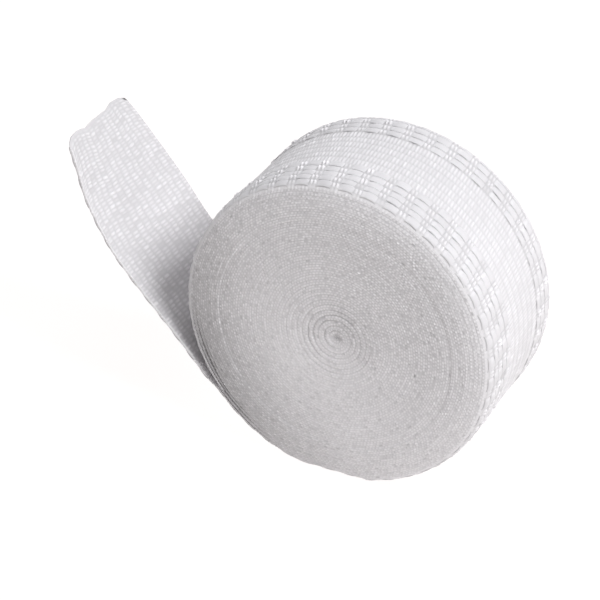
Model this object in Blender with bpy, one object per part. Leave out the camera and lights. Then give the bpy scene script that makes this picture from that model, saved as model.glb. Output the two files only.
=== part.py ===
"""A roll of woven hem tape that stands on its rim, with the loose end curling up beside it.

The tape is wound on itself with no core. Its outer side carries two bands of raised float
yarns, one along each edge, tied down at every sixth pick.
Metres, +Z up. The origin is the middle of the small flat on which the roll stands, +Y runs
along the roll's axis, and the loose end is on the -X side.
"""

import math
from collections import namedtuple

import bmesh
import bpy
from mathutils import Vector

MM = 0.001

# Driving dimensions
TAPE_WIDTH = 25.0 * MM
ROLL_RADIUS = 28.55 * MM
TURN_PITCH = 0.8 * MM
OUT_OF_ROUND = 0.3 * MM
FLAT_HALF_LENGTH = 6.4 * MM
PICK_PITCH = 0.645 * MM
PICKS_PER_FLOAT = 6
FLOAT_HEIGHT = 0.35 * MM
NEAR_BAND_WIDTH = 7.66 * MM
FAR_BAND_WIDTH = 6.3 * MM
LOOSE_END_THICKNESS = 1.0 * MM
ROOT_THICKNESS = 0.5 * MM
ROOT_TAPER_LENGTH = 5.0 * MM
PIECE_GAP = 0.3 * MM
EYE_RADIUS = 0.75 * MM
EYE_DEPTH = 3.0 * MM
EYE_OFF_CENTRE = 0.6 * MM
# Angles in the roll's plane are from straight down, towards -X: where the loose end leaves
# the roll, and the direction in which the roll is longest across
LEAVE_ANGLE = math.radians(50.0)
LONG_WAY_ANGLE = math.radians(25.0)

# The free part's outer surface along each edge of the tape, in millimetres from the roll's
# axis. The two edges part towards the tip, because the end twists a little.
Station = namedtuple("Station", "near_x near_z far_x far_z")
LOOSE_END_STATIONS = (
    Station(near_x=-24.9, near_z=-16.2, far_x=-24.9, far_z=-16.2),
    Station(near_x=-31.4, near_z=-8.9, far_x=-31.5, far_z=-8.8),
    Station(near_x=-38.3, near_z=-1.5, far_x=-38.1, far_z=-1.3),
    Station(near_x=-43.1, near_z=4.4, far_x=-42.7, far_z=4.9),
    Station(near_x=-47.2, near_z=12.2, far_x=-48.3, far_z=11.5),
    Station(near_x=-48.9, near_z=18.2, far_x=-52.6, far_z=16.2),
    Station(near_x=-50.5, near_z=23.2, far_x=-56.4, far_z=19.6),
)

# The cut end: how far it stops short of the last station, in millimetres, across the tape
CutPoint = namedtuple("CutPoint", "across short_by")
CUT_END = (
    CutPoint(across=0.0, short_by=1.6),
    CutPoint(across=0.03, short_by=1.0),
    CutPoint(across=0.09, short_by=0.2),
    CutPoint(across=0.2, short_by=0.2),
    CutPoint(across=0.3, short_by=0.9),
    CutPoint(across=0.44, short_by=0.8),
    CutPoint(across=0.73, short_by=1.6),
    CutPoint(across=0.83, short_by=1.4),
    CutPoint(across=0.93, short_by=1.7),
    CutPoint(across=1.0, short_by=3.2),
)

# The wound faces, from the rim inwards: each ring's share of the radius, and how far its
# turns stand in from the tape's edge, in millimetres
FaceRing = namedtuple("FaceRing", "radius_share set_in")
FACE_RINGS = (
    FaceRing(radius_share=0.9, set_in=0.0),
    FaceRing(radius_share=0.757, set_in=0.0),
    FaceRing(radius_share=0.745, set_in=0.3),
    FaceRing(radius_share=0.69, set_in=0.15),
    FaceRing(radius_share=0.2, set_in=0.25),
)

# How far a float stands up at each of the sections that make one repeat of the pattern, as a
# share of its height. The two bands are half a repeat apart.
SectionLift = namedtuple("SectionLift", "near far")
REPEAT_SECTIONS = (
    SectionLift(near=0.0, far=1.0),
    SectionLift(near=1.0, far=0.0),
    SectionLift(near=1.0, far=1.0),
)

# Worked out from the sizes above
FLOAT_REPEAT = PICK_PITCH * PICKS_PER_FLOAT
HALF_WIDTH = TAPE_WIDTH / 2
EDGE_ROUND = 0.3 * MM
BAND_SHOULDER = 0.4 * MM
STEP_ANGLE = math.radians(0.2)

# How late along the loose end the cut end's outline comes in, and the sampling of its curves
CUT_FADE_POWER = 4
SAMPLES_PER_SPAN = 24
NORMAL_STEP = 0.01
SHARP_ANGLE = math.radians(35.0)


def turn_radius(wound):
    """The outermost turn's radius, wound back by this angle from where the loose end leaves.
    The roll is slightly oval."""
    angle = LEAVE_ANGLE - wound
    oval = OUT_OF_ROUND * math.cos(2 * (angle - LONG_WAY_ANGLE))
    return ROLL_RADIUS - TURN_PITCH * wound / (2 * math.pi) + oval


AXIS_HEIGHT = math.sqrt(turn_radius(LEAVE_ANGLE) ** 2 - FLAT_HALF_LENGTH**2)


def clear_scene():
    for old in list(bpy.data.objects):
        bpy.data.objects.remove(old)


def fabric_material(name):
    material = bpy.data.materials.new(name)
    material.use_nodes = True
    shader = material.node_tree.nodes["Principled BSDF"]
    shader.inputs["Base Color"].default_value = (0.86, 0.86, 0.87, 1.0)
    shader.inputs["Roughness"].default_value = 0.85
    shader.inputs["Metallic"].default_value = 0.0
    return material


def object_from_bmesh(name, mesh_maker, material):
    bmesh.ops.recalc_face_normals(mesh_maker, faces=mesh_maker.faces)
    if mesh_maker.calc_volume(signed=True) < 0:
        bmesh.ops.reverse_faces(mesh_maker, faces=mesh_maker.faces)
    mesh = bpy.data.meshes.new(name)
    mesh_maker.to_mesh(mesh)
    mesh_maker.free()
    mesh.shade_smooth()
    mesh.set_sharp_from_angle(angle=SHARP_ANGLE)
    mesh.materials.append(material)
    piece = bpy.data.objects.new(name, mesh)
    bpy.context.scene.collection.objects.link(piece)
    return piece


def band_profile(lift):
    """Points across the tape's outer side: how far from the near edge, and how far below the
    floats' tops. Each band is flat on top, with a short shoulder towards the plain middle."""
    near_top = FLOAT_HEIGHT * (1 - lift.near)
    far_top = FLOAT_HEIGHT * (1 - lift.far)
    far_start = TAPE_WIDTH - FAR_BAND_WIDTH
    return (
        (0.0, near_top + EDGE_ROUND),
        (EDGE_ROUND, near_top),
        (NEAR_BAND_WIDTH - BAND_SHOULDER, near_top),
        (NEAR_BAND_WIDTH, FLOAT_HEIGHT),
        (far_start, FLOAT_HEIGHT),
        (far_start + BAND_SHOULDER, far_top),
        (TAPE_WIDTH - EDGE_ROUND, far_top),
        (TAPE_WIDTH, far_top + EDGE_ROUND),
    )


def on_the_surface(point):
    """The weave is pressed flat where the roll stands on it."""
    return Vector((point.x, point.y, max(point.z, 0.0)))


def around_roll(radius, angle_from_down, across):
    return Vector(
        (
            -radius * math.sin(angle_from_down),
            across - HALF_WIDTH,
            AXIS_HEIGHT - radius * math.cos(angle_from_down),
        )
    )


def bridge_closed(mesh_maker, first, second):
    count = len(first)
    for i in range(count):
        j = (i + 1) % count
        mesh_maker.faces.new((first[i], first[j], second[j], second[i]))


def add_wound_face(mesh_maker, rim, wound_angles, across, inward):
    """One end of the roll: rings of turns down to the small eye, a little off the middle."""
    rings = [(share, across + inward * set_in * MM) for share, set_in in FACE_RINGS]
    outer = rim
    for share, ring_across in rings:
        shift = Vector((EYE_OFF_CENTRE * (1 - share), 0.0, 0.0))
        inner = []
        for wound in wound_angles:
            radius = turn_radius(wound) * share
            point = around_roll(radius, LEAVE_ANGLE - wound, ring_across)
            inner.append(mesh_maker.verts.new(point + shift))
        bridge_closed(mesh_maker, outer, inner)
        outer = inner
    eye_middle = Vector((EYE_OFF_CENTRE, 0.0, 0.0))
    for depth in (0.0, EYE_DEPTH):
        inner = []
        for wound in wound_angles:
            eye_across = rings[-1][1] + inward * depth
            point = around_roll(EYE_RADIUS, LEAVE_ANGLE - wound, eye_across)
            inner.append(mesh_maker.verts.new(point + eye_middle))
        bridge_closed(mesh_maker, outer, inner)
        outer = inner
    mesh_maker.faces.new(outer)


def build_wound_roll(material):
    """The roll is one spiral outline, a turn's thickness lower where the loose end has left."""
    last_wound = 2 * math.pi - STEP_ANGLE
    repeats = round(ROLL_RADIUS * 2 * math.pi / FLOAT_REPEAT)
    section_count = repeats * len(REPEAT_SECTIONS)
    wound_angles = [last_wound * i / (section_count - 1) for i in range(section_count)]
    mesh_maker = bmesh.new()
    sections = []
    for i, wound in enumerate(wound_angles):
        radius = turn_radius(wound)
        profile = band_profile(REPEAT_SECTIONS[i % len(REPEAT_SECTIONS)])
        section = []
        for across, below in profile:
            point = around_roll(radius - below, LEAVE_ANGLE - wound, across)
            section.append(mesh_maker.verts.new(on_the_surface(point)))
        sections.append(section)
    columns = list(zip(*sections))
    for first, second in zip(columns, columns[1:]):
        bridge_closed(mesh_maker, first, second)
    add_wound_face(mesh_maker, columns[0], wound_angles, 0.0, 1)
    add_wound_face(mesh_maker, columns[-1], wound_angles, TAPE_WIDTH, -1)
    return object_from_bmesh("wound_roll", mesh_maker, material)


def smooth_path(points):
    """A Catmull-Rom curve through the points, with its length at each sample."""
    ends = [points[0] * 2 - points[1], *points, points[-1] * 2 - points[-2]]
    path = []
    for before, a, b, after in zip(ends, ends[1:], ends[2:], ends[3:]):
        for k in range(SAMPLES_PER_SPAN):
            t = k / SAMPLES_PER_SPAN
            path.append(
                0.5
                * (
                    2 * a
                    + (b - before) * t
                    + (2 * before - 5 * a + 4 * b - after) * t**2
                    + (3 * a - before - 3 * b + after) * t**3
                )
            )
    path.append(points[-1])
    lengths = [0.0]
    for a, b in zip(path, path[1:]):
        lengths.append(lengths[-1] + (b - a).length)
    return path, lengths


def point_along(path, lengths, share):
    wanted = lengths[-1] * share
    for i in range(len(lengths) - 1):
        if wanted <= lengths[i + 1] or i == len(lengths) - 2:
            t = (wanted - lengths[i]) / (lengths[i + 1] - lengths[i])
            return path[i].lerp(path[i + 1], t)


def value_between(pairs, x):
    """The value at x on straight lines through pairs of x and value, in rising x."""
    for (x_a, value_a), (x_b, value_b) in zip(pairs, pairs[1:]):
        if x <= x_b:
            return value_a + (value_b - value_a) * (x - x_a) / (x_b - x_a)
    return pairs[-1][1]


def sheet_section(lift, thickness):
    """The loose end's cross-section, round from the near edge over the outer side and back."""
    outer_side = band_profile(lift)
    columns = {across for across, below in outer_side[1:-1]}
    columns |= {point.across * TAPE_WIDTH for point in CUT_END[1:-1]}
    edge_depth = (FLOAT_HEIGHT + thickness) / 2
    section = [(0.0, edge_depth)]
    section += [(across, value_between(outer_side, across)) for across in sorted(columns)]
    section += [(TAPE_WIDTH, edge_depth)]
    section += [(across, thickness) for across in sorted(columns, reverse=True)]
    return section


def cap_sheet(mesh_maker, section):
    """Closes one end of the sheet, from its outer side straight through to its inner side."""
    last = len(section) // 2
    mesh_maker.faces.new((section[0], section[1], section[-1]))
    for i in range(1, last - 1):
        mesh_maker.faces.new((section[i], section[i + 1], section[-i - 1], section[-i]))
    mesh_maker.faces.new((section[last - 1], section[last], section[last + 1]))


def build_loose_end(material):
    """The last turn, peeled off the roll: a curved sheet with the same bands on its outer side."""
    near_points = [around_roll(turn_radius(0.0), LEAVE_ANGLE, 0.0)]
    far_points = [around_roll(turn_radius(0.0), LEAVE_ANGLE, TAPE_WIDTH)]
    for s in LOOSE_END_STATIONS:
        near_points.append(Vector((s.near_x * MM, -HALF_WIDTH, s.near_z * MM + AXIS_HEIGHT)))
        far_points.append(Vector((s.far_x * MM, HALF_WIDTH, s.far_z * MM + AXIS_HEIGHT)))
    near_path, near_lengths = smooth_path(near_points)
    far_path, far_lengths = smooth_path(far_points)
    length = (near_lengths[-1] + far_lengths[-1]) / 2
    root_share = PIECE_GAP / length

    def surface(along, across):
        share = root_share + (1 - root_share) * along
        share -= along**CUT_FADE_POWER * value_between(CUT_END, across) * MM / length
        near = point_along(near_path, near_lengths, share)
        return near.lerp(point_along(far_path, far_lengths, share), across)

    def surface_normal(along, across):
        before = max(along - NORMAL_STEP, 0.0)
        after = min(along + NORMAL_STEP, 1.0)
        run = surface(after, across) - surface(before, across)
        nearer = max(across - NORMAL_STEP, 0.0)
        further = min(across + NORMAL_STEP, 1.0)
        side = surface(along, further) - surface(along, nearer)
        return run.cross(side).normalized()

    repeats = length / FLOAT_REPEAT
    section_count = round(repeats * len(REPEAT_SECTIONS)) + 1
    mesh_maker = bmesh.new()
    sections = []
    for i in range(section_count):
        along = i / (section_count - 1)
        taper = min(1.0, along * length / ROOT_TAPER_LENGTH)
        thickness = ROOT_THICKNESS + (LOOSE_END_THICKNESS - ROOT_THICKNESS) * taper
        section = []
        for across, below in sheet_section(REPEAT_SECTIONS[-i % len(REPEAT_SECTIONS)], thickness):
            share = across / TAPE_WIDTH
            outward = surface_normal(along, share)
            section.append(mesh_maker.verts.new(surface(along, share) - outward * below))
        sections.append(section)
    for first, second in zip(sections, sections[1:]):
        bridge_closed(mesh_maker, first, second)
    cap_sheet(mesh_maker, sections[0])
    cap_sheet(mesh_maker, sections[-1])
    return object_from_bmesh("loose_end", mesh_maker, material)


def main():
    clear_scene()
    fabric = fabric_material("white_tape")
    build_wound_roll(fabric)
    build_loose_end(fabric)


main()
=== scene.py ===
"""The looks of a roll of woven hem tape: its wound turns, the raised float yarns on its outer
side, the curled loose end with its sealed cut, and a plain studio with the camera.

Metres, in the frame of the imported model. The tape has a length that starts at 0 where the
loose end leaves the roll, grows along the wound turns and is negative along the loose end.
Across, it runs from 0 at its near edge to its width at its far edge, and a depth is below its
outer side. Angles around the roll are from straight down, towards -X.
"""

import math
from collections import namedtuple

import bpy
import numpy as np
from mathutils import Matrix, Vector


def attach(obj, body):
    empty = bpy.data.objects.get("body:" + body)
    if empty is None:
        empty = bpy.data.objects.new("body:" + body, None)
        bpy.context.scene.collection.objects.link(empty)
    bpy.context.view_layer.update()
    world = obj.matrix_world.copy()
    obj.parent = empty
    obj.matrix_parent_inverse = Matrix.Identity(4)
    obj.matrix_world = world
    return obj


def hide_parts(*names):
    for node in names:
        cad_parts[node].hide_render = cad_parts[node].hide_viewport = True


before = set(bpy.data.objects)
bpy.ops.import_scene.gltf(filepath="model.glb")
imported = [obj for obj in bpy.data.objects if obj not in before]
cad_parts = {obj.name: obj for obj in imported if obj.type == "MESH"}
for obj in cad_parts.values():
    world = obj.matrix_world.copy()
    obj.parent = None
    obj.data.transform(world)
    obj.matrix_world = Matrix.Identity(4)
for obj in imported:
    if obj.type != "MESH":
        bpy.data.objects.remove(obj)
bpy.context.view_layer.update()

MM = 0.001
SEED = 7
FULL_TURN = 2 * math.pi

# The roll and the loose end's curve, as the solids have them. The stations are points of the
# outer side along each edge of the tape, in millimetres from the roll's axis.
TAPE_WIDTH = 25.0 * MM
ROLL_RADIUS = 28.55 * MM
TURN_PITCH = 0.8 * MM
OUT_OF_ROUND = 0.3 * MM
FLAT_HALF_LENGTH = 6.4 * MM
FLOAT_HEIGHT = 0.35 * MM
LEAVE_ANGLE = math.radians(50.0)
LONG_WAY_ANGLE = math.radians(25.0)
HALF_WIDTH = TAPE_WIDTH / 2

Station = namedtuple("Station", "near_x near_z far_x far_z")
LOOSE_END_STATIONS = (
    Station(near_x=-24.9, near_z=-16.2, far_x=-24.9, far_z=-16.2),
    Station(near_x=-31.4, near_z=-8.9, far_x=-31.5, far_z=-8.8),
    Station(near_x=-38.3, near_z=-1.5, far_x=-38.1, far_z=-1.3),
    Station(near_x=-43.1, near_z=4.4, far_x=-42.7, far_z=4.9),
    Station(near_x=-47.2, near_z=12.2, far_x=-48.3, far_z=11.5),
    Station(near_x=-48.9, near_z=18.2, far_x=-52.6, far_z=16.2),
    Station(near_x=-50.5, near_z=23.2, far_x=-56.4, far_z=19.6),
)

# The cut end, in finer waves than the solid's: how far it stops short of the last station, in
# millimetres, by share of the tape's width
CutPoint = namedtuple("CutPoint", "across short_by")
CUT_END = (
    CutPoint(across=0.0, short_by=1.0),
    CutPoint(across=0.02, short_by=0.5),
    CutPoint(across=0.06, short_by=0.0),
    CutPoint(across=0.15, short_by=-0.1),
    CutPoint(across=0.24, short_by=0.3),
    CutPoint(across=0.3, short_by=0.8),
    CutPoint(across=0.44, short_by=0.8),
    CutPoint(across=0.7, short_by=1.3),
    CutPoint(across=0.8, short_by=1.0),
    CutPoint(across=0.93, short_by=1.5),
    CutPoint(across=1.0, short_by=2.4),
)
CUT_FADE_POWER = 4

# How far the wound faces stand in from the tape's edge, in millimetres, by share of the roll's
# radius. They bulge a little, dip at the eye, and round back over the outermost turns.
FaceRing = namedtuple("FaceRing", "radius_share set_in")
FACE_RINGS = (
    FaceRing(radius_share=0.0, set_in=-0.6),
    FaceRing(radius_share=0.025, set_in=-0.68),
    FaceRing(radius_share=0.05, set_in=-0.85),
    FaceRing(radius_share=0.3, set_in=-1.0),
    FaceRing(radius_share=0.69, set_in=-1.05),
    FaceRing(radius_share=0.745, set_in=-0.95),
    FaceRing(radius_share=0.757, set_in=-1.06),
    FaceRing(radius_share=0.84, set_in=-0.9),
    FaceRing(radius_share=0.91, set_in=-0.56),
    FaceRing(radius_share=0.95, set_in=-0.22),
    FaceRing(radius_share=0.98, set_in=0.1),
    FaceRing(radius_share=1.0, set_in=0.4),
)

# The weave: two bands of float rows, and plain rows between them. Each row starts at its edge.
PICK_PITCH = 0.667 * MM
PICKS_PER_REPEAT = 6
FLOAT_REPEAT = PICK_PITCH * PICKS_PER_REPEAT
ROW_EDGES = np.array(
    [0.0, 1.3, 2.7, 4.3, 6.0, 7.7, 9.6, 11.4, 13.25, 15.1, 16.7, 18.7, 20.3, 21.9, 23.7, 25.0]
) * MM
NEAR_ROWS = range(0, 5)
PLAIN_ROWS = range(5, 11)
FAR_ROWS = range(11, 15)
NEAR_TIE_PLACE = 1.9 * MM
TIE_STAGGER = 0.16 * MM
WEAVE_SKEW = 0.14
ROW_SKEW = 0.061
GROUND_THICKNESS = 0.45 * MM
TAPE_THICKNESS = FLOAT_HEIGHT + GROUND_THICKNESS
SAMPLES_PER_PICK = 4
SAMPLE_STEP = PICK_PITCH / SAMPLES_PER_PICK

rng = np.random.default_rng(SEED)


def oval(angle):
    """How far the roll is out of round at an angle."""
    return OUT_OF_ROUND * np.cos(2 * (angle - LONG_WAY_ANGLE))


STANDING_RADIUS = ROLL_RADIUS - TURN_PITCH * LEAVE_ANGLE / FULL_TURN + oval(0.0)
AXIS_HEIGHT = math.sqrt(STANDING_RADIUS**2 - FLAT_HALF_LENGTH**2)

# The turns under the outermost one lie further apart towards the eye, where the tape bends most
CORE_PITCH = 1.02 * MM
CORE_PITCH_POWER = 1.3
INNERMOST_RADIUS = 0.6 * MM


def turn_pitch(radius):
    """How far apart two turns lie at a radius."""
    inwards = np.maximum(0.0, 1 - radius / ROLL_RADIUS)
    return TURN_PITCH + (CORE_PITCH - TURN_PITCH) * inwards**CORE_PITCH_POWER


def wind_the_tape():
    """The tape's length, wound angle and radius at each sample, from the leaving point in."""
    lengths, angles, radii = [0.0], [0.0], [ROLL_RADIUS]
    while radii[-1] > INNERMOST_RADIUS:
        step = SAMPLE_STEP / radii[-1]
        pitch = turn_pitch(radii[-1]) if angles[-1] > FULL_TURN else TURN_PITCH
        lengths.append(lengths[-1] + SAMPLE_STEP)
        angles.append(angles[-1] + step)
        radii.append(radii[-1] - pitch * step / FULL_TURN)
    return np.array(lengths), np.array(angles), np.array(radii)


WOUND_LENGTH, WOUND_ANGLE, WOUND_RADIUS = wind_the_tape()
OUTER_TURN_SAMPLES = int(np.searchsorted(WOUND_ANGLE, FULL_TURN))


def eased(t):
    """From 0 to 1 as t is, with a soft start and end."""
    t = np.clip(t, 0.0, 1.0)
    return t * t * (3 - 2 * t)


def ridge(x):
    """One rounded ridge for each whole number."""
    return 0.5 + 0.5 * np.cos(FULL_TURN * x)


def wander(x, spacing, spread):
    """Seeded values at an even spacing along x, eased from each to the next."""
    steps = (x - x.min()) / spacing
    index = steps.astype(int)
    knots = rng.normal(0.0, spread, index.max() + 2)
    share = eased(steps - index)
    return knots[index] * (1 - share) + knots[index + 1] * share


def pick_values(lengths, shift):
    """A seeded value for each pick along an edge."""
    pick = np.floor(lengths / PICK_PITCH + shift).astype(int)
    values = rng.normal(0.0, 1.0, pick.max() - pick.min() + 1)
    return values[pick - pick.min()]


# The outer turns' edges bend in, which rounds the roll's rims, most of all across from where the
# tape leaves. Beside that place the rims are squarer. The roll is pressed flat where it stands,
# and the turns close in on an eye that is a little off the middle.
RIM_BEND = 0.8 * MM
RIM_BEND_WIDTH = 2.2 * MM
RIM_BEND_START = 0.86
RIM_BEND_POWER = 1.5
MOST_BEND_SHARE = 1.1
ROUND_RIM_ANGLE = math.radians(215.0)
SQUARE_RIM = 0.5 * MM
SQUARE_RIM_START = 0.9
SET_IN_FADE = 6.0 * MM
PRESSED_DEPTH = 9.0 * MM
EYE_OFF_CENTRE = 0.75 * MM


def away_from_leaving(angle):
    """0 beside the place where the tape leaves the roll, and 1 across from it."""
    return 0.5 + 0.5 * np.cos(angle - ROUND_RIM_ANGLE)


def rim_bend(angle, share, across):
    """How far a turn's edge bends in towards the axis, by the turn's share of the radius."""
    outermost = np.clip((share - RIM_BEND_START) / (1 - RIM_BEND_START), 0.0, 1.0)
    from_edge = np.minimum(across, TAPE_WIDTH - across)
    near_edge = np.clip(1 - from_edge / RIM_BEND_WIDTH, 0.0, MOST_BEND_SHARE)
    return RIM_BEND * away_from_leaving(angle) * outermost**RIM_BEND_POWER * near_edge**2


def on_roll(wound, base, depth, across):
    """Points on the wound roll, for a turn whose outer side is at the base radius."""
    angle = LEAVE_ANGLE - wound
    share = base / ROLL_RADIUS
    radius = base + oval(angle) * share - depth - rim_bend(angle, share, across)
    x = -radius * np.sin(angle) + EYE_OFF_CENTRE * (1 - share)
    z = AXIS_HEIGHT - radius * np.cos(angle)
    below = np.sqrt(np.maximum(STANDING_RADIUS**2 - x**2, 0.0)) - AXIS_HEIGHT
    below = np.maximum(below, 0.0)
    pressed = (z + below) * PRESSED_DEPTH / (PRESSED_DEPTH + below)
    z = np.maximum(np.where(z < PRESSED_DEPTH, pressed, z), 0.0)
    return np.stack(np.broadcast_arrays(x, across - HALF_WIDTH, z), axis=-1)


SPLINE_SAMPLES = 24
HEADING_ANGLE = 0.02
NORMAL_STEP = 0.01


def edge_path(points, heading):
    """A Catmull-Rom curve through one edge's points, which starts in a heading, with the length
    at each sample."""
    first_step = np.linalg.norm(points[1] - points[0])
    ends = [points[1] - 2 * first_step * heading, *points, 2 * points[-1] - points[-2]]
    path = []
    for before, a, b, after in zip(ends, ends[1:], ends[2:], ends[3:]):
        for t in np.arange(SPLINE_SAMPLES) / SPLINE_SAMPLES:
            straight = 2 * a + (b - before) * t
            bend = (2 * before - 5 * a + 4 * b - after) * t**2
            twist = (3 * a - before - 3 * b + after) * t**3
            path.append((straight + bend + twist) / 2)
    path = np.array([*path, points[-1]])
    steps = np.linalg.norm(np.diff(path, axis=0), axis=1)
    return path, np.concatenate([[0.0], np.cumsum(steps)])


def loose_edge(side, stations):
    """One edge of the loose end, which leaves the roll along the roll's surface."""
    y = side * TAPE_WIDTH - HALF_WIDTH
    leaving = on_roll(0.0, ROLL_RADIUS, 0.0, side * TAPE_WIDTH)
    heading = leaving - on_roll(HEADING_ANGLE, ROLL_RADIUS, 0.0, side * TAPE_WIDTH)
    heading /= np.linalg.norm(heading)
    points = [np.array((x * MM, y, z * MM + AXIS_HEIGHT)) for x, z in stations]
    return edge_path([leaving, *points], heading)


NEAR_EDGE = loose_edge(0, [(station.near_x, station.near_z) for station in LOOSE_END_STATIONS])
FAR_EDGE = loose_edge(1, [(station.far_x, station.far_z) for station in LOOSE_END_STATIONS])
LOOSE_LENGTH = (NEAR_EDGE[1][-1] + FAR_EDGE[1][-1]) / 2


def along_edge(edge, share):
    path, lengths = edge
    wanted = share * lengths[-1]
    return np.stack([np.interp(wanted, lengths, path[:, i]) for i in range(3)], axis=-1)


def loose_surface(along, across):
    """The loose end's outer side, by shares of its length and of the tape's width."""
    short_by = np.interp(across, [c.across for c in CUT_END], [c.short_by * MM for c in CUT_END])
    share = along - along**CUT_FADE_POWER * short_by / LOOSE_LENGTH
    near = along_edge(NEAR_EDGE, share)
    far = along_edge(FAR_EDGE, share)
    return near + (far - near) * across[..., None]


def on_loose_end(along, depth, across):
    """Points on the loose end, by a share of its length."""
    along, depth, across = np.broadcast_arrays(along, depth, across / TAPE_WIDTH)
    before, after = np.maximum(along - NORMAL_STEP, 0), np.minimum(along + NORMAL_STEP, 1)
    inside = np.clip(across, 0, 1)
    nearer, further = np.maximum(inside - NORMAL_STEP, 0), np.minimum(inside + NORMAL_STEP, 1)
    run = loose_surface(after, across) - loose_surface(before, across)
    side = loose_surface(along, further) - loose_surface(along, nearer)
    outward = np.cross(run, side)
    outward /= np.linalg.norm(outward, axis=-1, keepdims=True)
    return loose_surface(along, across) - outward * depth[..., None]


def face_set_in(angle, radius):
    """How far a face stands in from the tape's edge, less at the rim beside the leaving point."""
    share = radius / ROLL_RADIUS
    shares = [ring.radius_share for ring in FACE_RINGS]
    set_in = np.interp(share, shares, [ring.set_in * MM for ring in FACE_RINGS])
    outermost = np.clip((share - SQUARE_RIM_START) / (1 - SQUARE_RIM_START), 0.0, 1.0)
    return set_in - SQUARE_RIM * (1 - away_from_leaving(angle)) * outermost


def place(length, depth, across):
    """Points of the tape, on the loose end where the length is negative and else on the roll."""
    length, depth, across = np.broadcast_arrays(length, depth, across)
    wound = np.interp(length, WOUND_LENGTH, WOUND_ANGLE)
    base = np.interp(length, WOUND_LENGTH, WOUND_RADIUS)
    set_in = face_set_in(LEAVE_ANGLE - wound, base - depth)
    drawn_in = set_in + across * (TAPE_WIDTH - 2 * set_in) / TAPE_WIDTH
    roll = on_roll(wound, base, depth, drawn_in)
    along = np.clip(-length / LOOSE_LENGTH, 0.0, 1.0)
    fading = np.maximum(0.0, 1 - along * LOOSE_LENGTH / SET_IN_FADE)
    loose = on_loose_end(along, depth, across + (drawn_in - across) * fading)
    return np.where((length < 0)[..., None], loose, roll)


# The weave's heights on both sides. A roundness is a power: the lower, the flatter the top.
WEFT_HEIGHT = 0.15 * MM
WEFT_ROUNDNESS = 0.25
WEFT_SPREAD = 0.22
BEAD_HEIGHT = 0.32 * MM
BEAD_ROUNDNESS = 1.6
BEAD_SPREAD = 0.3
BEAD_LOSS_AT_EDGE = 0.5
BAND_FLOOR_HEIGHT = 0.13 * MM
EDGE_FLOOR_HEIGHT = 0.22 * MM
EDGE_ROW_WIDTH = 1.0 * MM
INNER_WEFT_HEIGHT = 0.13 * MM
INNER_WEFT_ROUNDNESS = 0.8
INNER_WEFT_SPREAD = 0.35
UNEVEN_PICKS = 512

# Small waves that keep the inner side's beads off a plain grid: those of the rows' edges, in
# metres, and those of the picks, in picks, each row a little out of step with the next
Wave = namedtuple("Wave", "height length row_shift")
ROW_WAVES = (
    Wave(height=0.13 * MM, length=3.3 * MM, row_shift=0.0),
    Wave(height=0.1 * MM, length=7.9 * MM, row_shift=0.0),
)
PICK_WAVES = (
    Wave(height=0.13, length=5.3 * MM, row_shift=0.37),
    Wave(height=0.1, length=2.9 * MM, row_shift=0.71),
)


def waved(waves, length, row):
    """The sum of some waves at a length of the tape, on a row."""
    return sum(
        wave.height * np.sin(FULL_TURN * (length / wave.length + wave.row_shift * row))
        for wave in waves
    )


def uneven(row, pick, spread):
    """A seeded height for each dash of the weave, by its row and its pick."""
    table = np.random.default_rng(SEED).normal(1.0, spread, (len(ROW_EDGES), UNEVEN_PICKS))
    return table[row, pick % UNEVEN_PICKS]


def row_of(across):
    """The row at a place across the tape, and the share of the row's width."""
    row = np.clip(np.searchsorted(ROW_EDGES, across, side="right") - 1, 0, len(ROW_EDGES) - 2)
    share = (across - ROW_EDGES[row]) / (ROW_EDGES[row + 1] - ROW_EDGES[row])
    return row, share


def rounded(share):
    """0 at both sides of a row, and 1 at its middle."""
    return np.sin(math.pi * np.clip(share, 0, 1))


def is_plain(row):
    """Whether a row is one of those between the bands."""
    return (row >= PLAIN_ROWS[0]) & (row <= PLAIN_ROWS[-1])


def tie_place(row):
    """Where the rows' floats are tied down: the far band is half a repeat from the near one."""
    return np.where(row >= FAR_ROWS[0], NEAR_TIE_PLACE + FLOAT_REPEAT / 2, NEAR_TIE_PLACE)


def outer_relief(length, across):
    """The ground's height on the outer side: weft dashes that climb a little from row to row on
    the plain rows, and a pair of beads in each float row where its floats are tied down."""
    row, share = row_of(across)
    skewed = length - WEAVE_SKEW * across
    row_middle = (ROW_EDGES[row] + ROW_EDGES[row + 1]) / 2
    pick = (skewed + (WEAVE_SKEW - ROW_SKEW) * row_middle) / PICK_PITCH
    dashes = WEFT_HEIGHT * ridge(pick) * rounded(share) ** WEFT_ROUNDNESS
    dashes = dashes * uneven(row, np.round(pick).astype(int), WEFT_SPREAD)
    from_tie = skewed - tie_place(row) - TIE_STAGGER * (row % 2)
    tie = np.round(from_tie / FLOAT_REPEAT).astype(int)
    from_tie = from_tie - tie * FLOAT_REPEAT
    tied = np.abs(from_tie) < PICK_PITCH
    beads = BEAD_HEIGHT * (1 - ridge(from_tie / PICK_PITCH)) * tied
    beads = beads * uneven(row, tie, BEAD_SPREAD) * rounded(share) ** BEAD_ROUNDNESS
    at_edge = np.clip(1 - np.minimum(across, TAPE_WIDTH - across) / EDGE_ROW_WIDTH, 0.0, 1.0)
    floor = BAND_FLOOR_HEIGHT + (EDGE_FLOOR_HEIGHT - BAND_FLOOR_HEIGHT) * np.sqrt(at_edge)
    bands = floor + np.maximum(beads, 0.0) * (1 - BEAD_LOSS_AT_EDGE * at_edge)
    return np.where(is_plain(row), dashes, bands)


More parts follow.
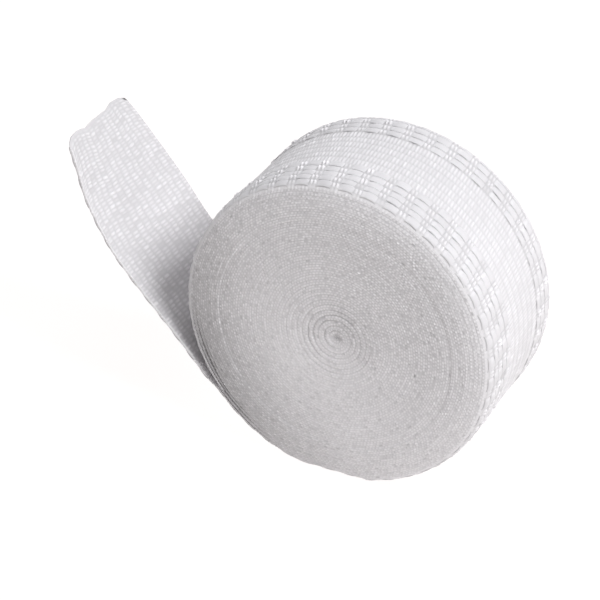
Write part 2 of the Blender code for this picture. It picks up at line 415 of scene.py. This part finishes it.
def inner_relief(length, across):
    """The ground's height on the inner side: rounded beads in columns."""
    row, share = row_of(np.clip(across + waved(ROW_WAVES, length, 0), 0.0, TAPE_WIDTH))
    pick = (length - ROW_SKEW * across) / PICK_PITCH + waved(PICK_WAVES, length, row)
    height = INNER_WEFT_HEIGHT * uneven(row, np.round(pick).astype(int), INNER_WEFT_SPREAD)
    return height * ridge(pick) ** INNER_WEFT_ROUNDNESS * rounded(share)


def set_attribute(mesh, name, kind, values):
    attribute = mesh.attributes.new(name, kind, "POINT")
    field = "vector" if kind == "FLOAT_VECTOR" else "value"
    attribute.data.foreach_set(field, np.ascontiguousarray(values, dtype=np.float32).ravel())


def mesh_piece(name, points, faces, places, shades, material):
    """A mesh object whose points carry their place on the tape and their shade."""
    mesh = bpy.data.meshes.new(name)
    mesh.from_pydata(points.reshape(-1, 3), [], faces)
    mesh.materials.append(material)
    mesh.shade_smooth()
    set_attribute(mesh, "place", "FLOAT_VECTOR", places)
    set_attribute(mesh, "shade", "FLOAT", shades)
    mesh.validate()
    piece = bpy.data.objects.new(name, mesh)
    bpy.context.scene.collection.objects.link(piece)
    return piece


def tube_sides(sections, around):
    """Quads between closed sections."""
    index = np.arange(sections * around).reshape(sections, around)
    a, b = index[:-1], index[1:]
    quads = np.stack([a, np.roll(a, -1, axis=1), np.roll(b, -1, axis=1), b], axis=-1)
    return quads.reshape(-1, 4).tolist()


def strip_end(first_index, across):
    """Triangles that close a strip's end section, zipped from one edge of the tape to the other."""
    low, high = 0, len(across) - 1
    triangles = []
    while high - low > 1:
        if across[low + 1] <= across[high - 1]:
            triangles.append([first_index + low, first_index + low + 1, first_index + high])
            low += 1
        else:
            triangles.append([first_index + low, first_index + high - 1, first_index + high])
            high -= 1
    return triangles


SHARP_END = math.radians(50.0)


def strip_piece(name, lengths, section, material):
    """A closed strip of tape. section gives depth, across and shade for the lengths' column."""
    depth, across, shade = section(lengths[:, None])
    depth, across, shade, along = np.broadcast_arrays(depth, across, shade, lengths[:, None])
    points = place(along, depth, across)
    places = np.stack([along, across, -depth], axis=-1)
    sections, around = depth.shape
    faces = tube_sides(sections, around)
    faces += [triangle[::-1] for triangle in strip_end(0, across[0])]
    faces += strip_end((sections - 1) * around, across[-1])
    piece = mesh_piece(name, points, faces, places, shade, material)
    piece.data.set_sharp_from_angle(angle=SHARP_END)
    return piece


def strip_pieces(name, first, last, count, section, material):
    """The wound tape between two samples, as a few lengths end to end."""
    joins = np.linspace(first, last, count + 1).astype(int)
    return [
        strip_piece(f"{name}_{i + 1}", WOUND_LENGTH[joins[i] : joins[i + 1] + 1], section, material)
        for i in range(count)
    ]


# The last turn and the loose end show the whole of the tape. A shade is 0 in the gaps of the
# weave and 1 on its yarns, and below or above that where the tape is darker or lighter still.
# The darkness in the gaps is painted shade, and the lighter tie beads and edges are painted
# highlights.
OUTER_COLUMNS_PER_ROW = 6
INNER_COLUMNS_PER_ROW = 5
HIDDEN_COLUMNS = 6
OUTER_PIECES = 2
EDGE_ROUND = 0.22 * MM
EDGE_CORNER = 0.06 * MM
EDGE_BUMP = 0.1 * MM
EDGE_UNEVEN = 0.5
# Painted shade in the gaps of the weave on both sides, and a painted highlight on the tie beads
PLAIN_GAP_SHADE = 0.5
BAND_GAP_SHADE = 0.25
BEAD_PAINTED_HIGHLIGHT = 1.25
OUTER_MOST_SHADE = 1.2
INNER_GAP_SHADE = 0.35
INNER_MOST_SHADE = 1.1
# Painted light on the inner side by the leaving point, where it lies in shade
WEDGE_PAINTED_LIGHT = 1.3
WEDGE_LENGTH = 10.0 * MM
# A painted highlight on the tape's edges
EDGE_PAINTED_HIGHLIGHT = 1.15
# Painted shade beside the place where the tape leaves the roll, on the edges and the faces
EDGE_PAINTED_SHADE = 0.8
PAINTED_SHADE_START = 0.35
PAINTED_SHADE_ANGLE = math.radians(65.0)
PAINTED_SHADE_POWER = 4


def leaving_point_painted_shade(angle, share):
    """How much painted shade darkens the faces beside the place where the tape leaves the roll, from 0
    to 1.
    """
    beside = 0.5 + 0.5 * np.cos(angle - PAINTED_SHADE_ANGLE)
    return beside**PAINTED_SHADE_POWER * eased((share - PAINTED_SHADE_START) / (1 - PAINTED_SHADE_START))


def row_columns(count):
    """Places across the tape, so many to a row."""
    starts = [
        np.linspace(start, stop, count, endpoint=False)
        for start, stop in zip(ROW_EDGES, ROW_EDGES[1:])
    ]
    columns = np.concatenate([*starts, [TAPE_WIDTH]])
    columns[0] = EDGE_ROUND
    columns[-1] = TAPE_WIDTH - EDGE_ROUND
    return columns


def whole_section(lengths, inner_columns, inner_height):
    """The tape's cross-section: outer side, far edge, inner side, near edge."""
    columns = row_columns(OUTER_COLUMNS_PER_ROW)
    relief = outer_relief(lengths, columns)
    # Painted shade in the gaps of the outer side, and a painted highlight on the tie beads that grows
    # with their height
    plain_shade = PLAIN_GAP_SHADE + (1 - PLAIN_GAP_SHADE) * relief / WEFT_HEIGHT
    band_shade = BAND_GAP_SHADE + BEAD_PAINTED_HIGHLIGHT * (relief - BAND_FLOOR_HEIGHT) / BEAD_HEIGHT
    outer_shade = np.where(is_plain(row_of(columns)[0]), plain_shade, band_shade)
    outer_shade = np.clip(outer_shade, BAND_GAP_SHADE, OUTER_MOST_SHADE)
    wedge = eased(1 + lengths / WEDGE_LENGTH)
    # Painted shade between the inner side's beads
    inner_shade = INNER_GAP_SHADE + (1 - INNER_GAP_SHADE) * inner_height / INNER_WEFT_HEIGHT
    inner_shade = np.clip(inner_shade, 0.0, INNER_MOST_SHADE)
    # Painted light on the inner side near the leaving point
    inner_shade = inner_shade + (WEDGE_PAINTED_LIGHT - inner_shade) * wedge
    bump = EDGE_BUMP * ridge(lengths / PICK_PITCH + 0.5)
    bump = bump * (1 + EDGE_UNEVEN * pick_values(lengths, 0.0))
    wound = np.interp(lengths, WOUND_LENGTH, WOUND_ANGLE)
    # The edges carry a painted highlight, with painted shade beside the leaving point
    edge_shade = EDGE_PAINTED_HIGHLIGHT - EDGE_PAINTED_SHADE * leaving_point_painted_shade(LEAVE_ANGLE - wound, 1.0) * wedge
    middle = (FLOAT_HEIGHT + TAPE_THICKNESS) / 2
    corners = [(FLOAT_HEIGHT + EDGE_CORNER, EDGE_CORNER), (middle, 0.0)]
    corners.append((TAPE_THICKNESS - EDGE_CORNER, EDGE_CORNER))
    everywhere = 0 * lengths
    depth = [FLOAT_HEIGHT - relief]
    across = [columns + everywhere]
    shade = [outer_shade]
    for edge_depth, edge_in in corners:
        depth.append(edge_depth + everywhere)
        across.append(TAPE_WIDTH - edge_in + bump)
        shade.append(edge_shade)
    depth.append(TAPE_THICKNESS + inner_height)
    across.append(inner_columns + everywhere)
    shade.append(inner_shade)
    for edge_depth, edge_in in reversed(corners):
        depth.append(edge_depth + everywhere)
        across.append(edge_in - bump)
        shade.append(edge_shade)
    return np.hstack(depth), np.hstack(across), np.hstack(shade)


def build_outer_turn(material):
    """The roll's outermost turn, from the leaving point. Its inner side is hidden and flat."""
    inner_columns = np.linspace(TAPE_WIDTH - EDGE_ROUND, EDGE_ROUND, HIDDEN_COLUMNS)

    def section(s):
        return whole_section(s, inner_columns, 0 * s * inner_columns)

    return strip_pieces("outer_turn", 0, OUTER_TURN_SAMPLES, OUTER_PIECES, section, material)


# The cut is sealed: a thin smooth strip, with a dark spot at its far corner
SEAL_LENGTH = 1.2 * MM
SEAL_SHADE = 0.5
SEAL_HALF_THICKNESS = 0.07 * MM
SPOT_SIZE = 0.75 * MM
SPOT_REACH = 1.5
SPOT_SHADE = 2.4
SPOT_DARKEST_SHADE = -1.2


def build_loose_end(material):
    count = round(LOOSE_LENGTH / SAMPLE_STEP)
    lengths = -np.linspace(0.0, LOOSE_LENGTH, count + 1)[::-1]
    inner_columns = row_columns(INNER_COLUMNS_PER_ROW)[::-1]
    middle = (FLOAT_HEIGHT + TAPE_THICKNESS) / 2

    def section(s):
        depth, across, shade = whole_section(s, inner_columns, inner_relief(s, inner_columns))
        from_cut = LOOSE_LENGTH + s
        sealed = eased(1 - from_cut / SEAL_LENGTH)
        smooth = middle + np.clip(depth - middle, -SEAL_HALF_THICKNESS, SEAL_HALF_THICKNESS)
        depth = depth + (smooth - depth) * sealed
        shade = shade + (SEAL_SHADE - shade) * sealed
        spot = eased(SPOT_REACH - from_cut / SPOT_SIZE)
        spot = spot * eased(SPOT_REACH - (TAPE_WIDTH - across) / SPOT_SIZE)
        return depth, across, np.maximum(shade - SPOT_SHADE * spot, SPOT_DARKEST_SHADE)

    return strip_piece("loose_tape", lengths, section, material)


# The wound turns show their edges alone. They are rounded, with a groove between two turns that
# is deeper near the eye and darkened with painted shade, and two rows of beads of uneven height and
# tone, with painted shade between them. The outermost of them part a little at the leaving point,
# with dark dots of painted shade in the gap. The eye and the faces beside the leaving point are
# darkened with painted shade too.
WOUND_PIECES = 3
EDGE_POINTS = 8
BEAD_SHIFTS = (0.0, 0.5)
FACE_TONE = 1.52
FACE_BUMP = 0.07 * MM
RIM_GROOVE = 0.01 * MM
CORE_GROOVE = 0.08 * MM
CORE_GROOVE_RADIUS = 7.0 * MM
# Painted shade in the groove between two turns
GROOVE_PAINTED_SHADE = 0.24
GROOVE_SPACING = 6.0 * MM
GROOVE_SPREAD = 0.5
GROOVE_LEAST = 0.1
GROOVE_MOST = 2.0
STRAY_SPACING = 5.0 * MM
STRAY_SPREAD = 0.015 * MM
# The gap where the outermost turns part: its painted shade, in dark dots, and its depth
GAP_PAINTED_SHADE = 3.0
GAP_DEPTH = 0.25 * MM
GAP_MIDDLE = -0.02
GAP_REACH = 0.1
GAP_BETWEEN_DOTS = 0.1
LOOSE_TURNS = 2
LOOSE_TURNS_FADE = 0.05
# Painted shade between the beads of the turns' edges, less of it beside the leaving point
GRAIN_PAINTED_SHADE = 0.9
GRAIN_SHADE_LEAST = 0.6
GRAIN_SHADE_AROUND = 0.5
BEAD_TONE = 0.22
# Painted shade on the faces beside the leaving point
FACE_PAINTED_SHADE = 1.15
# Painted shade at the eye
EYE_PAINTED_SHADE = 0.65
EYE_RADIUS = 1.3 * MM
DARKEST_SHADE = -1.0
LIGHTEST_SHADE = 1.3


def wound_pitch(base):
    """The thickness of a turn, with its gap. The innermost turn fills the eye."""
    last_turn_radius = np.interp(WOUND_ANGLE[-1] - FULL_TURN, WOUND_ANGLE, WOUND_RADIUS)
    return np.where(base <= last_turn_radius, base, turn_pitch(base))


def loosened(turns):
    """How far the outermost wound turns part, from 0 to 1."""
    past_leaving = turns - np.round(turns)
    beside = eased(1 - np.abs(past_leaving - GAP_MIDDLE) / GAP_REACH)
    return beside * eased((LOOSE_TURNS + 1 - turns) / LOOSE_TURNS_FADE)


def wound_section(s):
    """The wound turns' section: the points of the near edge, then those of the far edge."""
    base = np.interp(s, WOUND_LENGTH, WOUND_RADIUS)
    turns = np.interp(s, WOUND_LENGTH, WOUND_ANGLE) / FULL_TURN
    angle = LEAVE_ANGLE - turns * FULL_TURN
    pitch = wound_pitch(base)
    near_core = eased(1 - (base - CORE_GROOVE_RADIUS / 2) / CORE_GROOVE_RADIUS)
    gap = loosened(turns)
    # The dots of painted shade in the gap where the turns part
    dots = GAP_BETWEEN_DOTS + (1 - GAP_BETWEEN_DOTS) * ridge(s / PICK_PITCH) ** 2
    # Painted shade between the beads of the turns' edges
    grain_painted_shade = GRAIN_PAINTED_SHADE * (GRAIN_SHADE_LEAST + GRAIN_SHADE_AROUND * away_from_leaving(angle))
    # Painted shade on the faces beside the leaving point
    face_tone = FACE_TONE - FACE_PAINTED_SHADE * leaving_point_painted_shade(angle, base / ROLL_RADIUS)
    depth, across, shade = [], [], []
    for side, inward in ((0.0, 1), (TAPE_WIDTH, -1)):
        groove = RIM_GROOVE + (CORE_GROOVE - RIM_GROOVE) * near_core
        deeper = 1 + wander(s, GROOVE_SPACING, GROOVE_SPREAD)
        groove = groove * np.clip(deeper, GROOVE_LEAST, GROOVE_MOST) * eased(base / EYE_RADIUS - 1)
        heights = [pick_values(s, shift) for shift in BEAD_SHIFTS]
        tones = [pick_values(s, shift) for shift in BEAD_SHIFTS]
        stray = wander(s, STRAY_SPACING, STRAY_SPREAD) * near_core
        for share in np.linspace(0.0, 1.0, EDGE_POINTS)[::inward]:
            layer = int(share > 0.5)
            grooved = ridge(share)
            crest = np.sin(FULL_TURN * share) ** 2
            bead = ridge(s / PICK_PITCH + BEAD_SHIFTS[layer] + 0.5)
            bead = bead * (1 + EDGE_UNEVEN * heights[layer])
            set_back = (groove + GAP_DEPTH * gap) * grooved + stray - FACE_BUMP * bead * crest
            # Painted shade in the groove between two turns
            tone = face_tone - GROOVE_PAINTED_SHADE * groove / CORE_GROOVE * grooved
            tone = tone - grain_painted_shade * (1 - bead * crest) - GAP_PAINTED_SHADE * gap * grooved**2 * dots
            # Painted shade at the eye
            tone = tone - EYE_PAINTED_SHADE * eased(1 - (base - pitch * share) / EYE_RADIUS)
            tone = tone + BEAD_TONE * tones[layer] * crest
            depth.append(pitch * share)
            across.append(side + inward * set_back)
            shade.append(np.clip(tone, DARKEST_SHADE, LIGHTEST_SHADE))
    return np.hstack(depth), np.hstack(across), np.hstack(shade)


def build_wound_turns(material):
    """The turns under the outermost one, down to the eye."""
    last = len(WOUND_LENGTH) - 1
    return strip_pieces("wound_turns", OUTER_TURN_SAMPLES, last, WOUND_PIECES, wound_section, material)


# The float yarns arch up from the ground and down again, narrower at both ends, with painted shade
# on their lower sides and towards their ends, and a light glint near one end. No two are quite alike.
STRAND_SECTIONS = 13
STRAND_SIDES = 8
STRAND_LENGTH = 3.0 * MM
STRAND_THICKNESS = 0.3 * MM
STRAND_OVERLAP = 0.1 * MM
STRAND_FLATNESS = 0.8
STRAND_SINK = 0.12 * MM
STRAND_EDGE_GAP = 0.04 * MM
ARCH_POWER = 0.45
START_NARROWING = 0.1
START_NARROWING_POWER = 4
END_NARROWING = 0.22
END_NARROWING_POWER = 5
SHIFT_ALONG = 0.04 * MM
SHIFT_ACROSS = 0.02 * MM
LENGTH_SPREAD = 0.025
WIDTH_SPREAD = 0.035
HEIGHT_SHARE = 0.97
HEIGHT_SPREAD = 0.03
STRAND_TONE = 0.74
STRAND_TONE_SPREAD = 0.03
STRAND_SIDE_SHADE = 0.88
GLINT_TONE = 0.25
GLINT_LEAST = 0.2
GLINT_PLACE = 0.8
GLINT_SIZE = 0.08


def strand(row, centre):
    """One float yarn: the length, depth, place across and shade of each point around it."""
    t = np.linspace(0.0, 1.0, STRAND_SECTIONS)[:, None]
    theta = np.arange(STRAND_SIDES) * FULL_TURN / STRAND_SIDES
    arch = np.sin(math.pi * t) ** ARCH_POWER
    narrowing = 1 - START_NARROWING * (1 - t) ** START_NARROWING_POWER
    narrowing = narrowing - END_NARROWING * t**END_NARROWING_POWER
    flat_cos = np.sign(np.cos(theta)) * np.abs(np.cos(theta)) ** STRAND_FLATNESS
    low, high = ROW_EDGES[row], ROW_EDGES[row + 1]
    centre = centre + rng.normal(0.0, SHIFT_ALONG)
    long = STRAND_LENGTH * rng.normal(1.0, LENGTH_SPREAD)
    wide = (high - low + STRAND_OVERLAP) * rng.normal(1.0, WIDTH_SPREAD)
    top = FLOAT_HEIGHT * rng.normal(HEIGHT_SHARE, HEIGHT_SPREAD)
    middle = (low + high) / 2 + rng.normal(0.0, SHIFT_ACROSS)
    glint = GLINT_TONE * np.exp(-(((t - GLINT_PLACE) / GLINT_SIZE) ** 2))
    glint = glint * rng.uniform(GLINT_LEAST, 1.0)
    length = centre + (t - 0.5) * long + 0 * theta
    across = middle + 0.5 * wide * narrowing * flat_cos
    across = np.clip(across, STRAND_EDGE_GAP, TAPE_WIDTH - STRAND_EDGE_GAP)
    sunk = FLOAT_HEIGHT - top + (top + STRAND_SINK - STRAND_THICKNESS / 2) * (1 - arch)
    depth = sunk + STRAND_THICKNESS / 2 - 0.5 * STRAND_THICKNESS * np.sin(theta)
    # Painted shade on the lower sides and towards the ends, lighter on the top of the arch
    shade = STRAND_SIDE_SHADE + (1 - STRAND_SIDE_SHADE) * np.maximum(np.sin(theta), 0) * arch
    shade = STRAND_TONE * rng.normal(1.0, STRAND_TONE_SPREAD) * shade + glint
    return length, depth, across, shade


def build_floats(name, first_length, last_length, material):
    """The float yarns that start and end between two lengths of the tape."""
    points_each = STRAND_SECTIONS * STRAND_SIDES
    first_end = list(range(STRAND_SIDES))[::-1]
    last_end = list(range(points_each - STRAND_SIDES, points_each))
    strand_faces = [*tube_sides(STRAND_SECTIONS, STRAND_SIDES), first_end, last_end]
    points, faces, places, shades = [], [], [], []
    for row in [*NEAR_ROWS, *FAR_ROWS]:
        middle = (ROW_EDGES[row] + ROW_EDGES[row + 1]) / 2
        start = float(tie_place(row)) + FLOAT_REPEAT / 2 + WEAVE_SKEW * middle + TIE_STAGGER * (row % 2)
        first = math.ceil((first_length + STRAND_LENGTH / 2 - start) / FLOAT_REPEAT)
        last = math.floor((last_length - STRAND_LENGTH / 2 - start) / FLOAT_REPEAT)
        for n in range(first, last + 1):
            length, depth, across, shade = strand(row, start + n * FLOAT_REPEAT)
            base_index = len(points) * points_each
            for face in strand_faces:
                faces.append([base_index + i for i in face])
            points.append(place(length, depth, across).reshape(-1, 3))
            places.append(np.stack([length, across, -depth], axis=-1).reshape(-1, 3))
            shades.append(shade.ravel())
    return mesh_piece(
        name, np.concatenate(points), faces, np.concatenate(places), np.concatenate(shades), material
    )


# The materials. A gap's painted shade is the colour at shade 0 and a yarn's colour is at shade 1,
# and the streaks are the filaments' scales along the tape, across it and in depth.
Fabric = namedtuple("Fabric", "name gap_colour yarn_colour streaks roughness sheen")
TAPE_WEAVE = Fabric(
    name="tape_weave",
    gap_colour=(0.53, 0.515, 0.525, 1.0),
    yarn_colour=(0.86, 0.84, 0.857, 1.0),
    streaks=(2500.0, 9000.0, 4000.0),
    roughness=0.8,
    sheen=0.1,
)
FLOAT_YARN = Fabric(
    name="float_yarn",
    gap_colour=(0.46, 0.448, 0.46, 1.0),
    yarn_colour=(0.87, 0.85, 0.868, 1.0),
    streaks=(900.0, 12000.0, 9000.0),
    roughness=0.55,
    sheen=0.15,
)
SHEEN_ROUGHNESS = 0.4
SPECULAR_LEVEL = 0.3
NOISE_DETAIL = 3.0
DRIFT_SCALE = 90.0
DRIFT_FROM = (0.3, 0.7)
DRIFT_TO = (0.95, 1.0)
FILAMENT_STRENGTH = 0.6
FILAMENT_HEIGHT = 0.04 * MM


def add_noise(nodes, scale):
    noise = nodes.new("ShaderNodeTexNoise")
    noise.inputs["Scale"].default_value = scale
    noise.inputs["Detail"].default_value = NOISE_DETAIL
    return noise


def add_attribute(nodes, name):
    attribute = nodes.new("ShaderNodeAttribute")
    attribute.attribute_name = name
    return attribute


def add_drift(nodes, links):
    """A slow change of tone over the whole object."""
    coordinates = nodes.new("ShaderNodeTexCoord")
    drift = add_noise(nodes, DRIFT_SCALE)
    links.new(coordinates.outputs["Object"], drift.inputs["Vector"])
    drift_range = nodes.new("ShaderNodeMapRange")
    drift_range.inputs["From Min"].default_value = DRIFT_FROM[0]
    drift_range.inputs["From Max"].default_value = DRIFT_FROM[1]
    drift_range.inputs["To Min"].default_value = DRIFT_TO[0]
    drift_range.inputs["To Max"].default_value = DRIFT_TO[1]
    links.new(drift.outputs["Fac"], drift_range.inputs["Value"])
    return drift_range


def add_filaments(nodes, links, streaks):
    """A fine bump, streaked along the yarns."""
    where = add_attribute(nodes, "place")
    stretch = nodes.new("ShaderNodeVectorMath")
    stretch.operation = "MULTIPLY"
    stretch.inputs[1].default_value = streaks
    links.new(where.outputs["Vector"], stretch.inputs[0])
    filaments = add_noise(nodes, 1.0)
    links.new(stretch.outputs["Vector"], filaments.inputs["Vector"])
    bump = nodes.new("ShaderNodeBump")
    bump.inputs["Strength"].default_value = FILAMENT_STRENGTH
    bump.inputs["Distance"].default_value = FILAMENT_HEIGHT
    links.new(filaments.outputs["Fac"], bump.inputs["Height"])
    return bump


def fabric_material(fabric):
    """Woven yarn: darker in its gaps with painted shade, with fine filaments and a slow change of tone.
    """
    material = bpy.data.materials.new(fabric.name)
    material.use_nodes = True
    nodes, links = material.node_tree.nodes, material.node_tree.links
    shader = nodes["Principled BSDF"]
    shader.inputs["Roughness"].default_value = fabric.roughness
    shader.inputs["Sheen Weight"].default_value = fabric.sheen
    shader.inputs["Sheen Roughness"].default_value = SHEEN_ROUGHNESS
    shader.inputs["Specular IOR Level"].default_value = SPECULAR_LEVEL

    shade = add_attribute(nodes, "shade")
    # From the painted gap shade at shade 0 to the yarn's colour at shade 1
    tone = nodes.new("ShaderNodeMix")
    tone.data_type = "RGBA"
    tone.inputs["A"].default_value = fabric.gap_colour
    tone.inputs["B"].default_value = fabric.yarn_colour
    tone.clamp_factor = False
    links.new(shade.outputs["Fac"], tone.inputs["Factor"])

    drifted = nodes.new("ShaderNodeMix")
    drifted.data_type = "RGBA"
    drifted.blend_type = "MULTIPLY"
    drifted.inputs["Factor"].default_value = 1.0
    links.new(tone.outputs["Result"], drifted.inputs["A"])
    links.new(add_drift(nodes, links).outputs["Result"], drifted.inputs["B"])
    links.new(drifted.outputs["Result"], shader.inputs["Base Color"])

    bump = add_filaments(nodes, links, fabric.streaks)
    links.new(bump.outputs["Normal"], shader.inputs["Normal"])
    return material


def dress(piece, *nodes):
    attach(piece, "root")
    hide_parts(*nodes)


# The photograph's view, from the middle of the roll's axis
VIEW_AZIMUTH = math.radians(27.49)
VIEW_ELEVATION = math.radians(33.0)
VIEW_DISTANCE = 391.23 * MM
VIEW_RIGHT = -11.40 * MM
VIEW_UP = -0.342 * MM
VIEW_LENS_MM = 140.24
SENSOR_MM = 36.0
CLIP_START = 10.0 * MM


def add_camera():
    level = math.cos(VIEW_ELEVATION)
    back = Vector(
        (math.sin(VIEW_AZIMUTH) * level, -math.cos(VIEW_AZIMUTH) * level, math.sin(VIEW_ELEVATION))
    )
    right = Vector((math.cos(VIEW_AZIMUTH), math.sin(VIEW_AZIMUTH), 0.0))
    up = back.cross(right)
    data = bpy.data.cameras.new("camera")
    data.sensor_width = SENSOR_MM
    data.lens = VIEW_LENS_MM
    data.clip_start = CLIP_START
    camera = bpy.data.objects.new("camera", data)
    middle = Vector((0.0, 0.0, AXIS_HEIGHT))
    camera.location = middle + back * VIEW_DISTANCE + right * VIEW_RIGHT + up * VIEW_UP
    camera.rotation_euler = Matrix((right, up, back)).transposed().to_euler()
    bpy.context.scene.collection.objects.link(camera)
    bpy.context.scene.camera = camera


# The studio: soft lights, a pale floor that glows up to the photo's white, and a dim world
Light = namedtuple("Light", "name place size watts")
LIGHTS = (
    Light(name="key", place=(0.50, -0.12, 0.60), size=0.3, watts=4.6),
    Light(name="top", place=(0.10, -0.12, 0.80), size=0.4, watts=1.45),
    Light(name="key_back", place=(0.45, 0.35, 0.55), size=0.3, watts=0.7),
    Light(name="fill_left", place=(-0.70, 0.10, 0.40), size=0.6, watts=2.0),
    Light(name="fill_back", place=(-0.10, 0.90, 0.15), size=0.6, watts=2.5),
)
LIGHT_COLOUR = (0.975, 0.985, 1.0)
FLOOR_SIZE = 6.0
FLOOR_PAINT = (0.15, 0.15, 0.15, 1.0)
FLOOR_ROUGHNESS = 0.9
FLOOR_GLOW = 0.93
FLOOR_GLOW_COLOUR = (1.0, 0.975, 0.965, 1.0)
WORLD_COLOUR = (1.0, 1.0, 1.0, 1.0)
WORLD_STRENGTH = 0.03


def add_floor():
    paint = bpy.data.materials.new("floor_paint")
    paint.use_nodes = True
    shader = paint.node_tree.nodes["Principled BSDF"]
    shader.inputs["Base Color"].default_value = FLOOR_PAINT
    shader.inputs["Roughness"].default_value = FLOOR_ROUGHNESS
    shader.inputs["Emission Color"].default_value = FLOOR_GLOW_COLOUR
    shader.inputs["Emission Strength"].default_value = FLOOR_GLOW
    half = FLOOR_SIZE / 2
    corners = [(-half, -half, 0), (half, -half, 0), (half, half, 0), (-half, half, 0)]
    mesh = bpy.data.meshes.new("floor")
    mesh.from_pydata(corners, [], [(0, 1, 2, 3)])
    mesh.materials.append(paint)
    floor = bpy.data.objects.new("floor", mesh)
    bpy.context.scene.collection.objects.link(floor)


def add_lights():
    aim = Vector((0.0, 0.0, AXIS_HEIGHT))
    for light in LIGHTS:
        data = bpy.data.lights.new(light.name, "AREA")
        data.size = light.size
        data.energy = light.watts
        data.color = LIGHT_COLOUR
        lamp = bpy.data.objects.new(light.name, data)
        lamp.location = light.place
        lamp.rotation_euler = (Vector(light.place) - aim).to_track_quat("Z", "Y").to_euler()
        bpy.context.scene.collection.objects.link(lamp)
    world = bpy.data.worlds.new("studio")
    world.use_nodes = True
    background = world.node_tree.nodes["Background"]
    background.inputs["Color"].default_value = WORLD_COLOUR
    background.inputs["Strength"].default_value = WORLD_STRENGTH
    bpy.context.scene.world = world
    bpy.context.scene.view_settings.view_transform = "Standard"


def main():
    weave = fabric_material(TAPE_WEAVE)
    yarn = fabric_material(FLOAT_YARN)
    add_camera()
    add_floor()
    add_lights()
    turns = build_wound_turns(weave)
    outer_turns = build_outer_turn(weave)
    outer_turn_length = WOUND_LENGTH[OUTER_TURN_SAMPLES]
    outer_floats = build_floats("outer_floats", -STRAND_LENGTH / 2, outer_turn_length, yarn)
    for piece in [*turns, *outer_turns, outer_floats]:
        dress(piece, "wound_roll")
    loose_tape = build_loose_end(weave)
    loose_floats = build_floats("loose_floats", -LOOSE_LENGTH + SEAL_LENGTH, STRAND_LENGTH / 2, yarn)
    for piece in [loose_tape, loose_floats]:
        dress(piece, "loose_end")


main()
